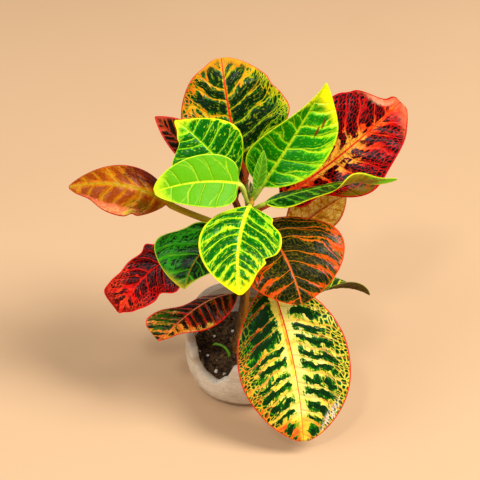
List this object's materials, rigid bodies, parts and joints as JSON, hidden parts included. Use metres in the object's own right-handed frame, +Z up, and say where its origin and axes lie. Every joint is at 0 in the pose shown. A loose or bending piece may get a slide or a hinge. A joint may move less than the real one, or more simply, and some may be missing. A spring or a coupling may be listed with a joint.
{
  "type": "potted croton",
  "caption": "Young croton house plant with broad variegated leaves on one upright stem, growing in soil in a low rounded pot whose rim dips at the front.",
  "frame": {"origin": "centre of the pot's flat base, on the surface that it stands on", "axes": "+Z up along the pot; the front of the plant, where the pot's rim dips and the big yellow leaf hangs, looks along -Y; +X is to the right seen from the front"},
  "size_m": [0.3237, 0.214, 0.337],
  "materials": {
    "pot": "matte",
    "soil": "matte",
    "stem": "satin",
    "leaf_green": "gloss",
    "leaf_dark": "gloss",
    "leaf_yellow": "gloss",
    "leaf_orange": "gloss",
    "leaf_red": "gloss",
    "shoot": "satin"
  },
  "bodies": {
    "root": {"pot": "pot", "soil": "soil", "stem": "stem", "leaf_top": "leaf_dark", "leaf_upper_left": "leaf_green", "leaf_upper_right": "leaf_green", "leaf_right_narrow": "leaf_green", "leaf_lime": "leaf_green", "leaf_front": "leaf_green", "leaf_left_green": "leaf_dark", "leaf_left_orange": "leaf_orange", "leaf_left_red": "leaf_red", "leaf_low_left": "leaf_red", "leaf_big_front": "leaf_yellow", "leaf_mid_orange": "leaf_orange", "leaf_right_red": "leaf_red", "leaf_right_olive": "leaf_orange", "leaf_small_right": "leaf_dark", "leaf_back_left": "leaf_red", "leaf_back": "leaf_orange", "leaf_young": "leaf_green", "side_shoot": "shoot", "growing_point": "shoot", "seedling": "shoot"}
  },
  "joints": []
}
